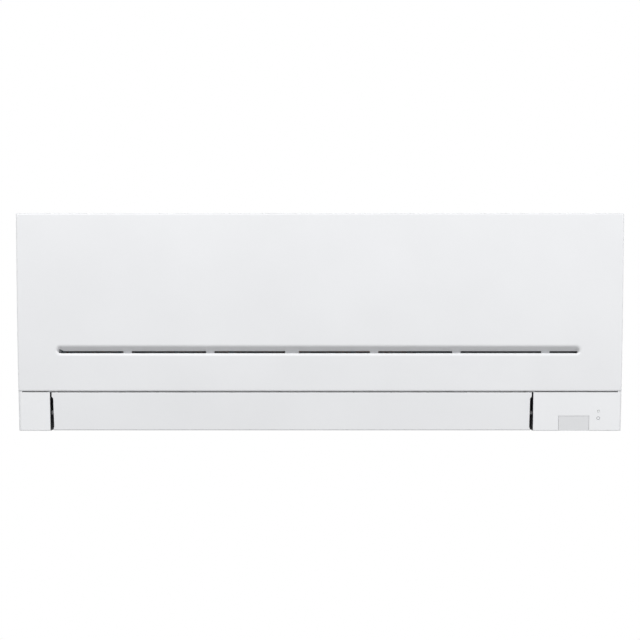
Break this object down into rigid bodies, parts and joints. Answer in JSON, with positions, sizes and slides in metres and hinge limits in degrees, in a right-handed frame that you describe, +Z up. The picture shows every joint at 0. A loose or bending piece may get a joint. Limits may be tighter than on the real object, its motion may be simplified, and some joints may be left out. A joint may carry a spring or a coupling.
{
  "type": "mini split indoor unit",
  "caption": "Wall-hung air conditioner indoor unit: flat front panel with a long intake slot, a vane across the outlet, coil, cross-flow fan, filters and electrical box inside.",
  "frame": {"origin": "on the wall plane, at the middle of the unit; the installation plate lies flat on that plane", "axes": "+X to the right as seen from the room, +Y into the wall, +Z up; the front faces -Y"},
  "size_m": [0.798, 0.219, 0.287],
  "materials": {
    "steel_sheet": "zinc plated sheet steel, 1.2 mm",
    "housing_plastic": "moulded ABS, fine matte",
    "white_casing": "moulded ABS, smooth satin",
    "white_panel": "moulded ABS, smooth, low gloss",
    "filter_plastic": "moulded polypropylene frame with net",
    "aluminium_fins": "thin fins with a pale hydrophilic coat",
    "coil_steel": "galvanised sheet steel",
    "copper": "drawn copper tube, bright",
    "brass": "turned brass",
    "foam": "closed cell foam strip",
    "grey_plastic": "moulded plastic",
    "fan_plastic": "glass filled plastic, moulded",
    "bearing_metal": "sintered bearing bush",
    "rubber": "moulded rubber",
    "motor_steel": "drawn steel",
    "vane_plastic": "moulded ABS, smooth, low gloss",
    "louvre_plastic": "moulded polypropylene",
    "circuit_board": "glass epoxy board with its parts",
    "window_plastic": "pale grey plastic that passes infrared",
    "lamp_plastic": "clear light pipe"
  },
  "bodies": {
    "unit": {"installation_plate": "steel_sheet", "rear_chassis": "housing_plastic", "drain_pan": "housing_plastic", "front_casing": "white_casing", "intake_grille": "white_casing", "air_filter_left": "filter_plastic", "air_filter_right": "filter_plastic", "coil_front_fins": "aluminium_fins", "coil_rear_fins": "aluminium_fins", "coil_tube": "copper", "coil_plate_left": "coil_steel", "coil_plate_right": "coil_steel", "coil_ridge_seal": "foam", "liquid_pipe": "copper", "gas_pipe": "copper", "liquid_flare_nut": "brass", "gas_flare_nut": "brass", "pipe_clamp": "grey_plastic", "drain_spigot": "grey_plastic", "bearing_bush": "bearing_metal", "bearing_mount": "rubber", "fan_motor": "motor_steel", "motor_ring_left": "rubber", "motor_ring_right": "rubber", "motor_clamp": "housing_plastic", "vane_motor": "grey_plastic", "vane_support_left": "housing_plastic", "vane_support_right": "housing_plastic", "louvre_rail_left": "housing_plastic", "louvre_motor_left": "grey_plastic", "louvre_rail_right": "housing_plastic", "louvre_motor_right": "grey_plastic", "electrical_box": "housing_plastic", "control_board": "circuit_board", "terminal_block": "grey_plastic", "display_board": "circuit_board", "receiver_window": "window_plastic", "indicator_lamp": "lamp_plastic", "casing_screw_left": "motor_steel", "casing_screw_right": "motor_steel"},
    "panel": {"front_panel": "white_panel"},
    "vane": {"horizontal_vane": "vane_plastic"},
    "fan": {"crossflow_fan": "fan_plastic"},
    "button": {"emergency_button": "white_casing"},
    "cap_left": {"screw_cap_left": "white_casing"},
    "cap_right": {"screw_cap_right": "white_casing"},
    "louvre_left_1": {"louvre_left_1": "louvre_plastic"},
    "louvre_left_2": {"louvre_left_2": "louvre_plastic"},
    "louvre_left_3": {"louvre_left_3": "louvre_plastic"},
    "louvre_left_4": {"louvre_left_4": "louvre_plastic"},
    "louvre_left_5": {"louvre_left_5": "louvre_plastic"},
    "louvre_left_6": {"louvre_left_6": "louvre_plastic"},
    "tie_bar_left": {"louvre_tie_bar_left": "louvre_plastic"},
    "louvre_right_1": {"louvre_right_1": "louvre_plastic"},
    "louvre_right_2": {"louvre_right_2": "louvre_plastic"},
    "louvre_right_3": {"louvre_right_3": "louvre_plastic"},
    "louvre_right_4": {"louvre_right_4": "louvre_plastic"},
    "louvre_right_5": {"louvre_right_5": "louvre_plastic"},
    "louvre_right_6": {"louvre_right_6": "louvre_plastic"},
    "tie_bar_right": {"louvre_tie_bar_right": "louvre_plastic"}
  },
  "joints": [
    {"name": "panel_hinge", "type": "hinge", "parent": "unit", "child": "panel", "pos_m": [0, -0.19, 0.137], "axis": [-1, 0, 0], "range_deg": [0, 75]},
    {"name": "vane_pivot", "type": "hinge", "parent": "unit", "child": "vane", "pos_m": [0, -0.16745, -0.12], "axis": [1, 0, 0], "range_deg": [0, 90]},
    {"name": "fan_spin", "type": "hinge", "parent": "unit", "child": "fan", "pos_m": [0, -0.094, -0.022], "axis": [1, 0, 0], "continuous": true},
    {"name": "button_press", "type": "slide", "parent": "unit", "child": "button", "axis": [0, 1, 0], "range_m": [0, 0.0012], "stiffness_N_per_m": 300, "springref_m": -0.0008},
    {"name": "screw_cap_left_hinge", "type": "hinge", "parent": "unit", "child": "cap_left", "pos_m": [-0.378, -0.089, -0.1427], "axis": [1, 0, 0], "range_deg": [0, 90]},
    {"name": "screw_cap_right_hinge", "type": "hinge", "parent": "unit", "child": "cap_right", "pos_m": [0.3, -0.089, -0.1427], "axis": [1, 0, 0], "range_deg": [0, 90]},
    {"name": "louvre_left_1_pivot", "type": "hinge", "parent": "unit", "child": "louvre_left_1", "pos_m": [-0.06875, -0.11872, -0.11382], "axis": [0, -0.6294, 0.7771], "range_deg": [-35, 35]},
    {"name": "louvre_left_2_pivot", "type": "hinge", "parent": "unit", "child": "louvre_left_2", "pos_m": [-0.11875, -0.11872, -0.11382], "axis": [0, -0.6294, 0.7771], "range_deg": [-35, 35]},
    {"name": "louvre_left_3_pivot", "type": "hinge", "parent": "unit", "child": "louvre_left_3", "pos_m": [-0.16875, -0.11872, -0.11382], "axis": [0, -0.6294, 0.7771], "range_deg": [-35, 35]},
    {"name": "louvre_left_4_pivot", "type": "hinge", "parent": "unit", "child": "louvre_left_4", "pos_m": [-0.21875, -0.11872, -0.11382], "axis": [0, -0.6294, 0.7771], "range_deg": [-35, 35]},
    {"name": "louvre_left_5_pivot", "type": "hinge", "parent": "unit", "child": "louvre_left_5", "pos_m": [-0.26875, -0.11872, -0.11382], "axis": [0, -0.6294, 0.7771], "range_deg": [-35, 35]},
    {"name": "louvre_left_6_pivot", "type": "hinge", "parent": "unit", "child": "louvre_left_6", "pos_m": [-0.31875, -0.11872, -0.11382], "axis": [0, -0.6294, 0.7771], "range_deg": [-35, 35]},
    {"name": "tie_bar_left_pin", "type": "hinge", "parent": "louvre_left_1", "child": "tie_bar_left", "pos_m": [-0.06875, -0.10797, -0.10962], "axis": [0, -0.6294, 0.7771], "range_deg": [-35, 35]},
    {"name": "louvre_right_1_pivot", "type": "hinge", "parent": "unit", "child": "louvre_right_1", "pos_m": [-0.00475, -0.11872, -0.11382], "axis": [0, -0.6294, 0.7771], "range_deg": [-35, 35]},
    {"name": "louvre_right_2_pivot", "type": "hinge", "parent": "unit", "child": "louvre_right_2", "pos_m": [0.04525, -0.11872, -0.11382], "axis": [0, -0.6294, 0.7771], "range_deg": [-35, 35]},
    {"name": "louvre_right_3_pivot", "type": "hinge", "parent": "unit", "child": "louvre_right_3", "pos_m": [0.09525, -0.11872, -0.11382], "axis": [0, -0.6294, 0.7771], "range_deg": [-35, 35]},
    {"name": "louvre_right_4_pivot", "type": "hinge", "parent": "unit", "child": "louvre_right_4", "pos_m": [0.14525, -0.11872, -0.11382], "axis": [0, -0.6294, 0.7771], "range_deg": [-35, 35]},
    {"name": "louvre_right_5_pivot", "type": "hinge", "parent": "unit", "child": "louvre_right_5", "pos_m": [0.19525, -0.11872, -0.11382], "axis": [0, -0.6294, 0.7771], "range_deg": [-35, 35]},
    {"name": "louvre_right_6_pivot", "type": "hinge", "parent": "unit", "child": "louvre_right_6", "pos_m": [0.24525, -0.11872, -0.11382], "axis": [0, -0.6294, 0.7771], "range_deg": [-35, 35]},
    {"name": "tie_bar_right_pin", "type": "hinge", "parent": "louvre_right_1", "child": "tie_bar_right", "pos_m": [-0.00475, -0.10797, -0.10962], "axis": [0, -0.6294, 0.7771], "range_deg": [-35, 35]}
  ],
  "couplings": [
    {"joint": "louvre_left_2_pivot", "follows": "louvre_left_1_pivot", "ratio": 1},
    {"joint": "louvre_left_3_pivot", "follows": "louvre_left_1_pivot", "ratio": 1},
    {"joint": "louvre_left_4_pivot", "follows": "louvre_left_1_pivot", "ratio": 1},
    {"joint": "louvre_left_5_pivot", "follows": "louvre_left_1_pivot", "ratio": 1},
    {"joint": "louvre_left_6_pivot", "follows": "louvre_left_1_pivot", "ratio": 1},
    {"joint": "tie_bar_left_pin", "follows": "louvre_left_1_pivot", "ratio": -1},
    {"joint": "louvre_right_2_pivot", "follows": "louvre_right_1_pivot", "ratio": 1},
    {"joint": "louvre_right_3_pivot", "follows": "louvre_right_1_pivot", "ratio": 1},
    {"joint": "louvre_right_4_pivot", "follows": "louvre_right_1_pivot", "ratio": 1},
    {"joint": "louvre_right_5_pivot", "follows": "louvre_right_1_pivot", "ratio": 1},
    {"joint": "louvre_right_6_pivot", "follows": "louvre_right_1_pivot", "ratio": 1},
    {"joint": "tie_bar_right_pin", "follows": "louvre_right_1_pivot", "ratio": -1}
  ]
}
